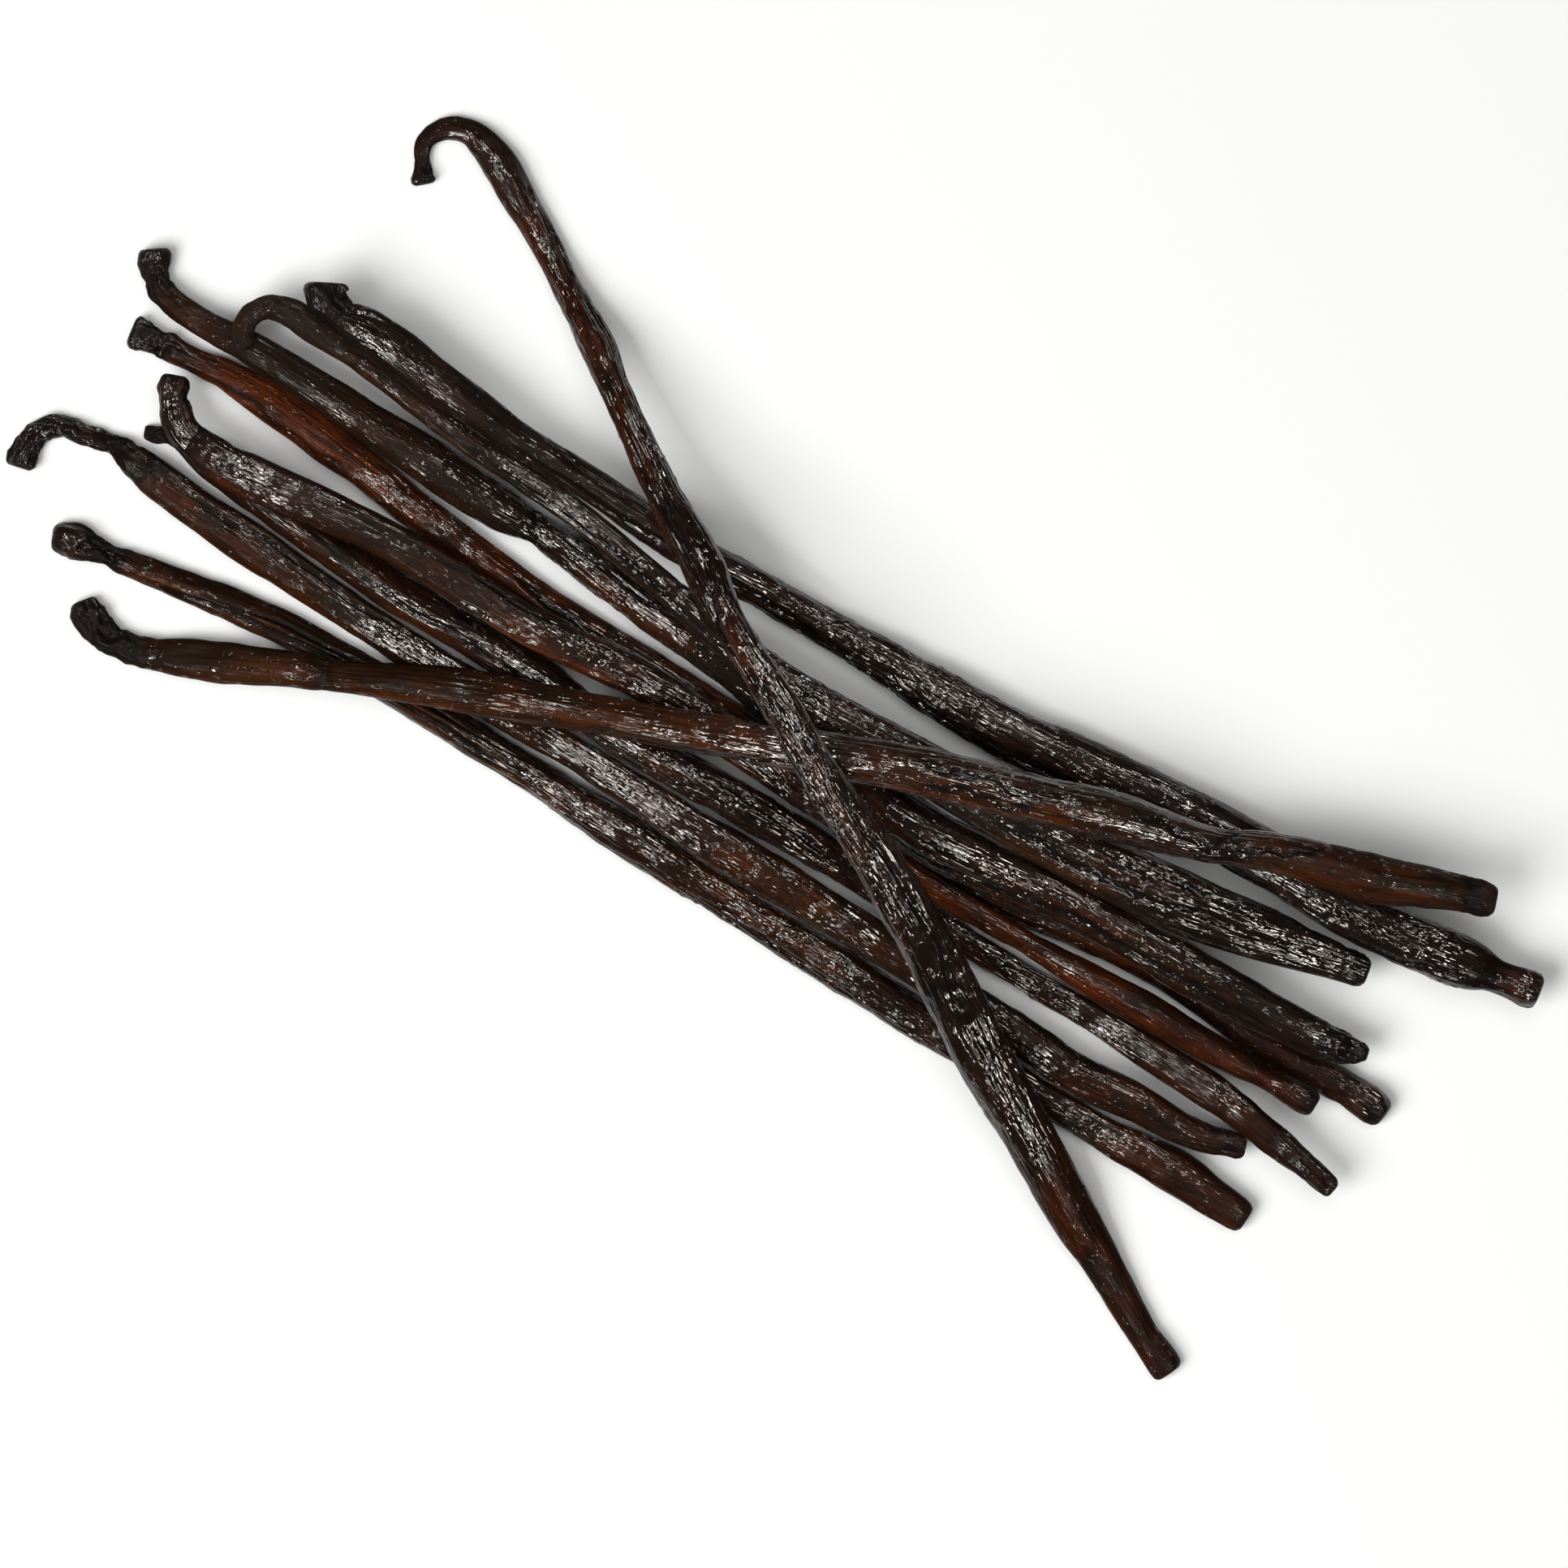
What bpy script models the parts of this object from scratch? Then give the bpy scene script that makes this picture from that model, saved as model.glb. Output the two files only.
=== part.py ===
"""A loose bundle of ten cured vanilla pods, lying one over another on a table.

Metres, +Z up, the table top is z = 0. The bundle runs along X with the stem
ends towards -X. Pods are laid from the table up: each one rests on the table
and on the pods already lying there, and sags between the places it touches.
"""
import math

import bmesh
import bpy
import numpy as np

MM = 0.001

# sizes below are millimetres
THICK_FOR_WIDTH = 0.63   # a cured pod is a flattened tube
RINGS = 48               # sections along each pod
SIDES = 10               # corners of a section
BEND_SHARE = 9.0         # how strongly sections gather where a pod turns
END_ROUND = 0.38         # length of the rounded end for the width there
END_BLUNT = 3.0          # 2 is a round end, more is a squarer cut end
CLEARANCE = 0.36         # air kept between two pods that touch
BELLY_FLAT = 0.24        # how far the belly of a resting pod is pressed flat
STIFFNESS = 62.0         # radius a pod's own weight can bend it to
CELL = 0.3               # grid of the height map the pods are laid on
STEP = 0.5               # spacing of the places where a pod feels what is below

# Each pod: name, skin colour, then places along it as (x, y, width),
# from the stem end to the blossom end. Listed in the order they are laid.
PODS = [
    ("pod_lower_edge", (0.034, 0.015, 0.008), [
        (-88.3, -26.2, 3.4), (-85.6, -25.0, 4.1), (-81.5, -24.4, 3.2),
        (-72.5, -23.0, 3.8), (-65.0, -21.8, 4.1), (-40.5, -20.4, 4.3),
        (-30.0, -20.6, 4.8), (-22.5, -20.6, 4.6), (-5.0, -21.0, 5.7),
        (7.0, -21.5, 4.9), (24.5, -21.6, 5.5), (42.5, -22.2, 4.6),
        (60.0, -22.2, 4.3), (71.5, -21.9, 5.5), (76.5, -22.1, 4.8),
        (81.9, -22.3, 4.3)]),
    ("pod_broad_stem", (0.032, 0.015, 0.008), [
        (-96.0, -21.1, 4.5), (-96.6, -18.0, 3.4), (-95.8, -14.7, 3.0),
        (-94.0, -13.4, 2.7), (-91.5, -13.2, 2.3), (-88.0, -12.4, 2.6),
        (-83.0, -13.0, 4.2), (-74.5, -13.9, 4.7), (-67.5, -14.2, 5.1),
        (-57.5, -14.7, 4.4), (-31.5, -15.5, 4.5), (-14.0, -15.8, 4.0),
        (4.0, -16.3, 5.4), (15.5, -16.2, 5.0), (34.0, -16.7, 4.6),
        (45.5, -17.2, 5.1), (52.5, -17.7, 5.2), (62.5, -16.9, 5.0),
        (71.5, -16.4, 3.9), (77.0, -14.5, 2.9)]),
    ("pod_thin_tip", (0.029, 0.013, 0.007), [
        (-85.2, -9.2, 1.9), (-82.4, -8.0, 2.1), (-75.6, -8.2, 3.8),
        (-58.7, -9.3, 5.0), (-46.5, -10.1, 5.0), (-29.0, -9.9, 5.2),
        (-17.0, -11.0, 4.8), (0.5, -10.3, 5.5), (21.0, -10.4, 4.5),
        (39.0, -10.8, 3.6), (53.0, -10.7, 4.0), (64.5, -10.9, 4.5),
        (71.0, -11.0, 4.3), (77.2, -11.9, 4.0), (82.6, -12.6, 3.3),
        (86.5, -13.3, 2.5), (88.9, -13.7, 1.8)]),
    ("pod_red_brown", (0.052, 0.018, 0.007), [
        (-93.2, 0.9, 4.3), (-90.4, 1.3, 3.6), (-85.0, 1.5, 3.4),
        (-79.5, 2.1, 4.0), (-71.0, 1.9, 5.3), (-64.0, 1.4, 5.2),
        (-52.0, -0.1, 4.7), (-34.0, -1.8, 4.4), (-4.5, -2.1, 4.5),
        (26.0, -4.5, 3.9), (59.0, -1.4, 4.5), (77.5, -2.6, 4.6),
        (84.5, -2.0, 4.4), (89.9, -2.5, 4.3)]),
    ("pod_bent_stem", (0.040, 0.017, 0.009), [
        (-85.2, -0.8, 3.6), (-84.1, -3.4, 3.9), (-81.2, -6.3, 3.8),
        (-75.5, -7.3, 4.8), (-70.0, -7.0, 5.2), (-60.5, -5.8, 4.9),
        (-49.5, -5.0, 4.6), (-32.0, -5.0, 4.7), (-15.5, -3.8, 4.7),
        (-3.5, -4.3, 4.6), (13.0, -5.7, 3.8), (27.5, -7.1, 3.1),
        (39.0, -6.9, 3.0), (56.5, -6.6, 4.3), (69.0, -6.3, 3.8),
        (77.0, -6.0, 3.0), (81.7, -6.0, 3.3)]),
    ("pod_pinched", (0.027, 0.013, 0.008), [
        (-96.0, 11.1, 4.6), (-94.2, 8.7, 3.1), (-92.3, 7.0, 3.2),
        (-87.0, 6.0, 3.4), (-79.5, 6.4, 4.0), (-68.0, 6.3, 4.6),
        (-50.0, 5.6, 5.8), (-43.0, 5.4, 5.4), (-39.2, 5.4, 4.3),
        (-32.5, 5.4, 4.9), (-26.0, 4.8, 5.3), (-20.0, 4.2, 5.2),
        (-8.0, 3.6, 5.4), (6.0, 0.6, 5.6), (19.0, -1.7, 7.1),
        (30.0, -1.4, 7.0), (41.0, -0.1, 6.2), (63.5, 0.7, 6.0),
        (75.0, 1.2, 5.3), (80.5, 2.1, 4.2), (83.9, 2.9, 2.2)]),
    ("pod_curled_stem", (0.024, 0.014, 0.010), [
        (-79.3, 6.1, 2.6), (-80.6, 7.5, 2.7), (-81.0, 9.4, 3.0),
        (-79.6, 11.8, 3.2), (-76.7, 12.7, 3.5), (-73.5, 12.5, 3.3),
        (-66.0, 12.3, 3.3), (-53.0, 10.8, 3.2), (-35.0, 9.8, 3.4),
        (-22.5, 7.9, 3.2), (-3.0, 5.0, 4.7), (20.0, 5.0, 6.0),
        (43.0, 6.0, 7.1), (55.0, 7.3, 7.6), (64.5, 8.9, 6.6),
        (73.5, 10.6, 4.6), (78.8, 11.7, 3.6)]),
    ("pod_dark_fat", (0.020, 0.012, 0.009), [
        (-75.1, 18.6, 6.3), (-73.9, 16.7, 5.0), (-71.4, 15.7, 4.3),
        (-67.5, 15.7, 5.3), (-55.5, 14.7, 5.2), (-43.0, 13.8, 4.1),
        (-31.5, 13.5, 4.5), (-19.5, 13.0, 5.0), (-8.0, 13.6, 4.8),
        (5.0, 13.8, 5.5), (26.5, 14.2, 7.0), (48.5, 16.3, 7.3),
        (63.0, 16.9, 7.1), (77.5, 16.9, 6.6), (88.0, 18.5, 6.2),
        (93.5, 19.4, 4.1), (98.3, 20.1, 4.6)]),
    ("pod_pale_brown", (0.052, 0.023, 0.011), [
        (-81.1, -30.6, 3.7), (-79.0, -32.1, 3.9), (-75.8, -33.1, 3.8),
        (-72.4, -32.7, 3.9), (-64.0, -29.4, 5.1), (-56.0, -25.7, 4.8),
        (-51.0, -23.5, 4.0), (-36.5, -17.0, 5.4), (-22.5, -11.5, 5.1),
        (1.5, -2.4, 5.2), (19.0, 4.4, 6.1), (28.5, 7.4, 5.9),
        (40.0, 11.1, 6.4), (54.0, 15.1, 4.7), (59.5, 17.6, 5.0),
        (74.0, 22.0, 6.1), (82.0, 25.2, 4.7), (87.5, 27.2, 4.2)]),
    ("pod_crosswise", (0.034, 0.015, 0.008), [
        (-71.0, 34.9, 2.9), (-72.7, 36.9, 2.2), (-73.8, 39.6, 2.2),
        (-72.5, 42.0, 2.7), (-70.0, 43.2, 3.1), (-67.3, 42.9, 3.7),
        (-64.0, 41.6, 4.3), (-60.5, 39.6, 4.1), (-56.7, 37.6, 4.0),
        (-50.0, 33.4, 3.6), (-46.2, 31.0, 4.2), (-42.2, 28.5, 4.5),
        (-38.6, 25.9, 4.2), (-26.5, 17.7, 4.4), (-17.0, 12.0, 5.6),
        (-12.0, 8.6, 4.7), (-2.0, 3.3, 4.7), (8.0, -2.4, 5.0),
        (18.5, -7.3, 5.6), (31.0, -14.2, 6.7), (43.0, -21.8, 7.2),
        (53.5, -27.5, 6.2), (63.5, -33.1, 5.6), (71.5, -37.4, 4.3),
        (77.5, -40.7, 3.6), (83.6, -43.4, 4.2)]),
]


class Pod:
    """The middle line and width of one pod, as smooth curves of its length."""

    def __init__(self, name, colour, places):
        self.name = name
        self.colour = colour
        self.places = np.array(places)
        self.marks, self.slopes = knot_slopes(self.places)
        self.length = self.measure()

    def measure(self):
        t = np.linspace(0.0, self.marks[-1], 900)
        xy = along_curve(self.places, self.marks, self.slopes, t)[:, :2]
        run = np.hypot(*np.diff(xy, axis=0).T)
        self.fine_t = t
        self.fine_s = np.concatenate([[0.0], np.cumsum(run)])
        return self.fine_s[-1]

    def at(self, s):
        """Middle line, sideways direction and half width at lengths s."""
        t = np.interp(s, self.fine_s, self.fine_t)
        here = along_curve(self.places, self.marks, self.slopes, t)
        ahead = along_curve(self.places, self.marks, self.slopes,
                            np.minimum(t + 0.05, self.marks[-1]))
        behind = along_curve(self.places, self.marks, self.slopes,
                             np.maximum(t - 0.05, 0.0))
        way = (ahead - behind)[:, :2]
        way /= np.linalg.norm(way, axis=1)[:, None]
        side = np.stack([-way[:, 1], way[:, 0]], axis=1)
        return here[:, :2], side, 0.5 * here[:, 2] * self.end_rounding(s)

    def end_rounding(self, s):
        """Narrows the width to a blunt rounded end at both tips."""
        stem = END_ROUND * self.places[0, 2]
        tip = END_ROUND * self.places[-1, 2]
        near = np.minimum(s / stem, (self.length - s) / tip)
        left = 1.0 - np.clip(near, 0.0, 1.0)
        return (1.0 - left ** END_BLUNT) ** (1.0 / END_BLUNT)

    def turning(self, s):
        """How fast the pod turns, in radians a millimetre."""
        _, side, _ = self.at(s)
        angle = np.unwrap(np.arctan2(side[:, 1], side[:, 0]))
        return np.abs(np.gradient(angle, s))

    def ring_places(self):
        """Lengths of the sections: close together in bends and at the ends."""
        s = np.linspace(0.0, self.length, 700)
        share = np.cumsum(1.0 + BEND_SHARE * self.turning(s))
        share = (share - share[0]) / (share[-1] - share[0])
        stem = END_ROUND * self.places[0, 2]
        tip = END_ROUND * self.places[-1, 2]
        body = np.interp(np.linspace(0.0, 1.0, RINGS - 4), share, s)
        body = stem + body * (self.length - stem - tip) / self.length
        start = stem * np.array([0.06, 0.35])
        end = self.length - tip * np.array([0.35, 0.06])
        return np.concatenate([start, body, end])


def knot_slopes(places):
    """Distance marks of the places and a smooth slope through each."""
    gaps = np.hypot(*np.diff(places[:, :2], axis=0).T)
    marks = np.concatenate([[0.0], np.cumsum(gaps)])
    rises = np.diff(places, axis=0) / gaps[:, None]
    slopes = np.empty_like(places)
    slopes[0] = rises[0]
    slopes[-1] = rises[-1]
    before = gaps[:-1, None]
    after = gaps[1:, None]
    slopes[1:-1] = (rises[:-1] * after + rises[1:] * before) / (before + after)
    return marks, slopes


def along_curve(places, marks, slopes, t):
    """Smooth curve through the places, at distances t."""
    i = np.clip(np.searchsorted(marks, t, side="right") - 1, 0, len(marks) - 2)
    gap = (marks[i + 1] - marks[i])[:, None]
    f = (t - marks[i])[:, None] / gap
    start = (2 * f ** 3 - 3 * f ** 2 + 1) * places[i]
    start = start + (f ** 3 - 2 * f ** 2 + f) * gap * slopes[i]
    end = (3 * f ** 2 - 2 * f ** 3) * places[i + 1]
    end = end + (f ** 3 - f ** 2) * gap * slopes[i + 1]
    return start + end


class Table:
    """Height map of the table top and of every pod already lying on it."""

    def __init__(self, reach):
        self.low = -reach
        count = int(2 * reach / CELL) + 1
        self.height = np.zeros((count, count))

    def cells(self, xy):
        index = np.rint((xy - self.low) / CELL).astype(int)
        return index[..., 0], index[..., 1]

    def add(self, xy, z):
        """Raises the map to a pod's upper side, with a margin of one cell."""
        i, j = self.cells(xy)
        for di in (-1, 0, 1):
            for dj in (-1, 0, 1):
                np.maximum.at(self.height, (i + di, j + dj), z)

    def under(self, xy):
        i, j = self.cells(xy)
        return self.height[i, j]


def lowest_lie(pod, table):
    """Height of the pod's middle line when it rests on what is below."""
    s = np.arange(0.0, pod.length, STEP)
    s[0] = 0.02
    middle, side, half = pod.at(s)
    thick = half * THICK_FOR_WIDTH
    need = thick - BELLY_FLAT
    for angle in np.linspace(math.pi, 2.0 * math.pi, 33):
        xy = middle + side * (half * math.cos(angle))[:, None]
        below = table.under(xy)
        touch = below + CLEARANCE - thick * math.sin(angle)
        need = np.maximum(need, np.where(below > 0.0, touch, need))
    apart = (s[:, None] - s[None, :]) ** 2
    sag = (need[None, :] - apart / (4.0 * STIFFNESS)).max(axis=1)
    rest = (sag[None, :] + apart / (2.0 * STIFFNESS)).min(axis=1)
    return s, rest


def skin(pod, lie, s, angles):
    """Points of the pod's skin, one row for each length in s."""
    middle, side, half = pod.at(s)
    z = np.interp(s, lie[0], lie[1])
    thick = half * THICK_FOR_WIDTH
    across = half[:, None] * np.cos(angles)[None, :]
    x = middle[:, 0, None] + side[:, 0, None] * across
    y = middle[:, 1, None] + side[:, 1, None] * across
    up = z[:, None] + thick[:, None] * np.sin(angles)[None, :]
    return np.stack([x, y, np.maximum(up, 0.0)], axis=2)


def lay_pods():
    """Lays every pod in turn and gives each with the height it rests at."""
    table = Table(115.0)
    laid = []
    for name, colour, places in PODS:
        pod = Pod(name, colour, places)
        lie = lowest_lie(pod, table)
        s = np.linspace(0.02, pod.length - 0.02, 900)
        top = skin(pod, lie, s, np.linspace(0.0, math.pi, 61))
        table.add(top[..., :2].reshape(-1, 2), top[..., 2].reshape(-1))
        laid.append((pod, lie))
    return laid


def tube_mesh(pod, lie):
    """Closed mesh of one pod: rings of corners and a point at each end."""
    s = pod.ring_places()
    angles = np.arange(SIDES) * 2.0 * math.pi / SIDES
    rings = skin(pod, lie, s, angles)
    ends = skin(pod, lie, np.array([0.0, pod.length]), angles).mean(axis=1)
    bm = bmesh.new()
    corners = [[bm.verts.new(p * MM) for p in ring] for ring in rings]
    for near, far in zip(corners[:-1], corners[1:]):
        for k in range(SIDES):
            m = (k + 1) % SIDES
            bm.faces.new((near[k], near[m], far[m], far[k]))
    for ring, point in ((corners[0], ends[0]), (corners[-1], ends[1])):
        pole = bm.verts.new(point * MM)
        for k in range(SIDES):
            bm.faces.new((ring[(k + 1) % SIDES], ring[k], pole))
    bmesh.ops.recalc_face_normals(bm, faces=bm.faces)
    bmesh.ops.triangulate(bm, faces=bm.faces)
    return bm


def skin_material(pod):
    """Dark, oily, cured pod skin."""
    material = bpy.data.materials.new("skin_" + pod.name)
    material.use_nodes = True
    shader = material.node_tree.nodes["Principled BSDF"]
    shader.inputs["Base Color"].default_value = (*pod.colour, 1.0)
    shader.inputs["Roughness"].default_value = 0.38
    shader.inputs["IOR"].default_value = 1.47
    return material


def make_object(pod, lie):
    bm = tube_mesh(pod, lie)
    mesh = bpy.data.meshes.new(pod.name)
    bm.to_mesh(mesh)
    bm.free()
    for face in mesh.polygons:
        face.use_smooth = True
    thing = bpy.data.objects.new(pod.name, mesh)
    thing.data.materials.append(skin_material(pod))
    bpy.context.scene.collection.objects.link(thing)
    return thing


def centre_on_origin(things):
    """Moves the meshes so the bundle stands over the origin."""
    points = np.array([v.co for thing in things for v in thing.data.vertices])
    middle = 0.5 * (points.min(axis=0) + points.max(axis=0))
    for thing in things:
        for vertex in thing.data.vertices:
            vertex.co.x -= middle[0]
            vertex.co.y -= middle[1]


def main():
    for thing in list(bpy.data.objects):
        bpy.data.objects.remove(thing, do_unlink=True)
    things = [make_object(pod, lie) for pod, lie in lay_pods()]
    centre_on_origin(things)


main()
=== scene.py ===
"""Looks of a loose bundle of ten cured vanilla pods, lying one over another on a pale table.

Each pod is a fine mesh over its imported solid: a bent, flattened tube whose skin has shrunk into
lengthwise wrinkles while it cured, with beads, creases, pinches, a broken stem and a blunt tip.
Lengths in the tables are millimetres along a pod from its stem end. Angles go round a pod: 0 is
its +Y side, 90 its top, 180 its other side.
"""
import math

import bpy
import numpy as np
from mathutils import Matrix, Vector


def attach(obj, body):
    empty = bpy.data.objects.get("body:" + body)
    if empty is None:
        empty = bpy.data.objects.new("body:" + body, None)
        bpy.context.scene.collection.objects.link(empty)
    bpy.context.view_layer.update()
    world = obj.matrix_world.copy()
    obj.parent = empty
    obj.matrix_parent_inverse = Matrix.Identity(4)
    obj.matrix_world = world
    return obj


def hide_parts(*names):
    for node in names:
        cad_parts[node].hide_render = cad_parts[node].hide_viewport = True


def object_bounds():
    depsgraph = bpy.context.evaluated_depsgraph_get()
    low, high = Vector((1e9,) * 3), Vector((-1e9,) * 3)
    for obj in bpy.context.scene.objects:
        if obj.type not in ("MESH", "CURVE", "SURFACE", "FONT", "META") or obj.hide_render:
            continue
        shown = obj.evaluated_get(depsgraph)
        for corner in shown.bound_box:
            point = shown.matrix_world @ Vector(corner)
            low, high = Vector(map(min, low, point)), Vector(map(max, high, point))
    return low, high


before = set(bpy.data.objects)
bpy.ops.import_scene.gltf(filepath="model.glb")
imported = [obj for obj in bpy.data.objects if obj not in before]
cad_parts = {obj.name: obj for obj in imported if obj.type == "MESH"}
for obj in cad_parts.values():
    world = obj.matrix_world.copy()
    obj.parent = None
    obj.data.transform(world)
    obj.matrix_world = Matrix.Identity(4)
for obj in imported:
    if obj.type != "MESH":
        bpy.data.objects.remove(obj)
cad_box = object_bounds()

MM = 0.001

# how the pods lie, in millimetres
THICK_FOR_WIDTH = 0.63   # a cured pod is a flattened tube
END_ROUND = 0.38         # length of the rounded end for the width there
END_BLUNT = 3.0          # 2 is a round end, more is a squarer cut end
CLEARANCE = 0.36         # air kept between two pods that touch
BELLY_FLAT = 0.24        # how far the belly of a resting pod is pressed flat
STIFFNESS = 62.0         # radius a pod's own weight can bend it to
CELL = 0.3               # grid of the height map the pods are laid on
STEP = 0.5               # spacing of the places where a pod feels what is below
EASE = 2.5               # length over which its slope changes

# fineness of the skins
AROUND = 80              # corners round a pod
CROWD = 0.45             # how much closer the corners stand on the upper side
ALONG = 560              # rings along its body
CAP_RINGS = 10           # rings on each end face
CAP_ROUND = 0.42         # length of the rounded end of a skin for the width there
CAP_BLUNT = 2.4          # how square the end of a skin is
SHEET_ROWS = 1024        # rows of the unrolled sheet on which wrinkles are drawn
SHEET_COLUMNS = 128      # its columns round the pod
RELIEF_OUT = 0.22        # how far a wrinkle may stand out
END_RELIEF = 0.25        # how much further a lump on a free end may

# Places along each pod as (x, y, width), from the stem end to the blossom end,
# in the order the pods were laid.
PATHS = {
    "pod_lower_edge": [
        (-88.3, -26.2, 3.4), (-85.6, -25.0, 4.1), (-81.5, -24.4, 3.2),
        (-72.5, -23.0, 3.8), (-65.0, -21.8, 4.1), (-40.5, -20.4, 4.3),
        (-30.0, -20.6, 4.8), (-22.5, -20.6, 4.6), (-5.0, -21.0, 5.7),
        (7.0, -21.5, 4.9), (24.5, -21.6, 5.5), (42.5, -22.2, 4.6),
        (60.0, -22.2, 4.3), (71.5, -21.9, 5.5), (76.5, -22.1, 4.8),
        (81.9, -22.3, 4.3)],
    "pod_broad_stem": [
        (-96.0, -21.1, 4.5), (-96.6, -18.0, 3.4), (-95.8, -14.7, 3.0),
        (-94.0, -13.4, 2.7), (-91.5, -13.2, 2.3), (-88.0, -12.4, 2.6),
        (-83.0, -13.0, 4.2), (-74.5, -13.9, 4.7), (-67.5, -14.2, 5.1),
        (-57.5, -14.7, 4.4), (-31.5, -15.5, 4.5), (-14.0, -15.8, 4.0),
        (4.0, -16.3, 5.4), (15.5, -16.2, 5.0), (34.0, -16.7, 4.6),
        (45.5, -17.2, 5.1), (52.5, -17.7, 5.2), (62.5, -16.9, 5.0),
        (71.5, -16.4, 3.9), (77.0, -14.5, 2.9)],
    "pod_thin_tip": [
        (-85.2, -9.2, 1.9), (-82.4, -8.0, 2.1), (-75.6, -8.2, 3.8),
        (-58.7, -9.3, 5.0), (-46.5, -10.1, 5.0), (-29.0, -9.9, 5.2),
        (-17.0, -11.0, 4.8), (0.5, -10.3, 5.5), (21.0, -10.4, 4.5),
        (39.0, -10.8, 3.6), (53.0, -10.7, 4.0), (64.5, -10.9, 4.5),
        (71.0, -11.0, 4.3), (77.2, -11.9, 4.0), (82.6, -12.6, 3.3),
        (86.5, -13.3, 2.5), (88.9, -13.7, 1.8)],
    "pod_red_brown": [
        (-93.2, 0.9, 4.3), (-90.4, 1.3, 3.6), (-85.0, 1.5, 3.4),
        (-79.5, 2.1, 4.0), (-71.0, 1.9, 5.3), (-64.0, 1.4, 5.2),
        (-52.0, -0.1, 4.7), (-34.0, -1.8, 4.4), (-4.5, -2.1, 4.5),
        (26.0, -4.5, 3.9), (59.0, -1.4, 4.5), (77.5, -2.6, 4.6),
        (84.5, -2.0, 4.4), (89.9, -2.5, 4.3)],
    "pod_bent_stem": [
        (-85.2, -0.8, 3.6), (-84.1, -3.4, 3.9), (-81.2, -6.3, 3.8),
        (-75.5, -7.3, 4.8), (-70.0, -7.0, 5.2), (-60.5, -5.8, 4.9),
        (-49.5, -5.0, 4.6), (-32.0, -5.0, 4.7), (-15.5, -3.8, 4.7),
        (-3.5, -4.3, 4.6), (13.0, -5.7, 3.8), (27.5, -7.1, 3.1),
        (39.0, -6.9, 3.0), (56.5, -6.6, 4.3), (69.0, -6.3, 3.8),
        (77.0, -6.0, 3.0), (81.7, -6.0, 3.3)],
    "pod_pinched": [
        (-96.0, 11.1, 4.6), (-94.2, 8.7, 3.1), (-92.3, 7.0, 3.2),
        (-87.0, 6.0, 3.4), (-79.5, 6.4, 4.0), (-68.0, 6.3, 4.6),
        (-50.0, 5.6, 5.8), (-43.0, 5.4, 5.4), (-39.2, 5.4, 4.3),
        (-32.5, 5.4, 4.9), (-26.0, 4.8, 5.3), (-20.0, 4.2, 5.2),
        (-8.0, 3.6, 5.4), (6.0, 0.6, 5.6), (19.0, -1.7, 7.1),
        (30.0, -1.4, 7.0), (41.0, -0.1, 6.2), (63.5, 0.7, 6.0),
        (75.0, 1.2, 5.3), (80.5, 2.1, 4.2), (83.9, 2.9, 2.2)],
    "pod_curled_stem": [
        (-79.3, 6.1, 2.6), (-80.6, 7.5, 2.7), (-81.0, 9.4, 3.0),
        (-79.6, 11.8, 3.2), (-76.7, 12.7, 3.5), (-73.5, 12.5, 3.3),
        (-66.0, 12.3, 3.3), (-53.0, 10.8, 3.2), (-35.0, 9.8, 3.4),
        (-22.5, 7.9, 3.2), (-3.0, 5.0, 4.7), (20.0, 5.0, 6.0),
        (43.0, 6.0, 7.1), (55.0, 7.3, 7.6), (64.5, 8.9, 6.6),
        (73.5, 10.6, 4.6), (78.8, 11.7, 3.6)],
    "pod_dark_fat": [
        (-75.1, 18.6, 6.3), (-73.9, 16.7, 5.0), (-71.4, 15.7, 4.3),
        (-67.5, 15.7, 5.3), (-55.5, 14.7, 5.2), (-43.0, 13.8, 4.1),
        (-31.5, 13.5, 4.5), (-19.5, 13.0, 5.0), (-8.0, 13.6, 4.8),
        (5.0, 13.8, 5.5), (26.5, 14.2, 7.0), (48.5, 16.3, 7.3),
        (63.0, 16.9, 7.1), (77.5, 16.9, 6.6), (88.0, 18.5, 6.2),
        (93.5, 19.4, 4.1), (98.3, 20.1, 4.6)],
    "pod_pale_brown": [
        (-81.1, -30.6, 3.7), (-79.0, -32.1, 3.9), (-75.8, -33.1, 3.8),
        (-72.4, -32.7, 3.9), (-64.0, -29.4, 5.1), (-56.0, -25.7, 4.8),
        (-51.0, -23.5, 4.0), (-36.5, -17.0, 5.4), (-22.5, -11.5, 5.1),
        (1.5, -2.4, 5.2), (19.0, 4.4, 6.1), (28.5, 7.4, 5.9),
        (40.0, 11.1, 6.4), (54.0, 15.1, 4.7), (59.5, 17.6, 5.0),
        (74.0, 22.0, 6.1), (82.0, 25.2, 4.7), (87.5, 27.2, 4.2)],
    "pod_crosswise": [
        (-71.0, 34.9, 2.9), (-72.7, 36.9, 2.2), (-73.8, 39.6, 2.2),
        (-72.5, 42.0, 2.7), (-70.0, 43.2, 3.1), (-67.3, 42.9, 3.7),
        (-64.0, 41.6, 4.3), (-60.5, 39.6, 4.1), (-56.7, 37.6, 4.0),
        (-50.0, 33.4, 3.6), (-46.2, 31.0, 4.2), (-42.2, 28.5, 4.5),
        (-38.6, 25.9, 4.2), (-26.5, 17.7, 4.4), (-17.0, 12.0, 5.6),
        (-12.0, 8.6, 4.7), (-2.0, 3.3, 4.7), (8.0, -2.4, 5.0),
        (18.5, -7.3, 5.6), (31.0, -14.2, 6.7), (43.0, -21.8, 7.2),
        (53.5, -27.5, 6.2), (63.5, -33.1, 5.6), (71.5, -37.4, 4.3),
        (77.5, -40.7, 3.6), (83.6, -43.4, 4.2)],
}

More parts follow.
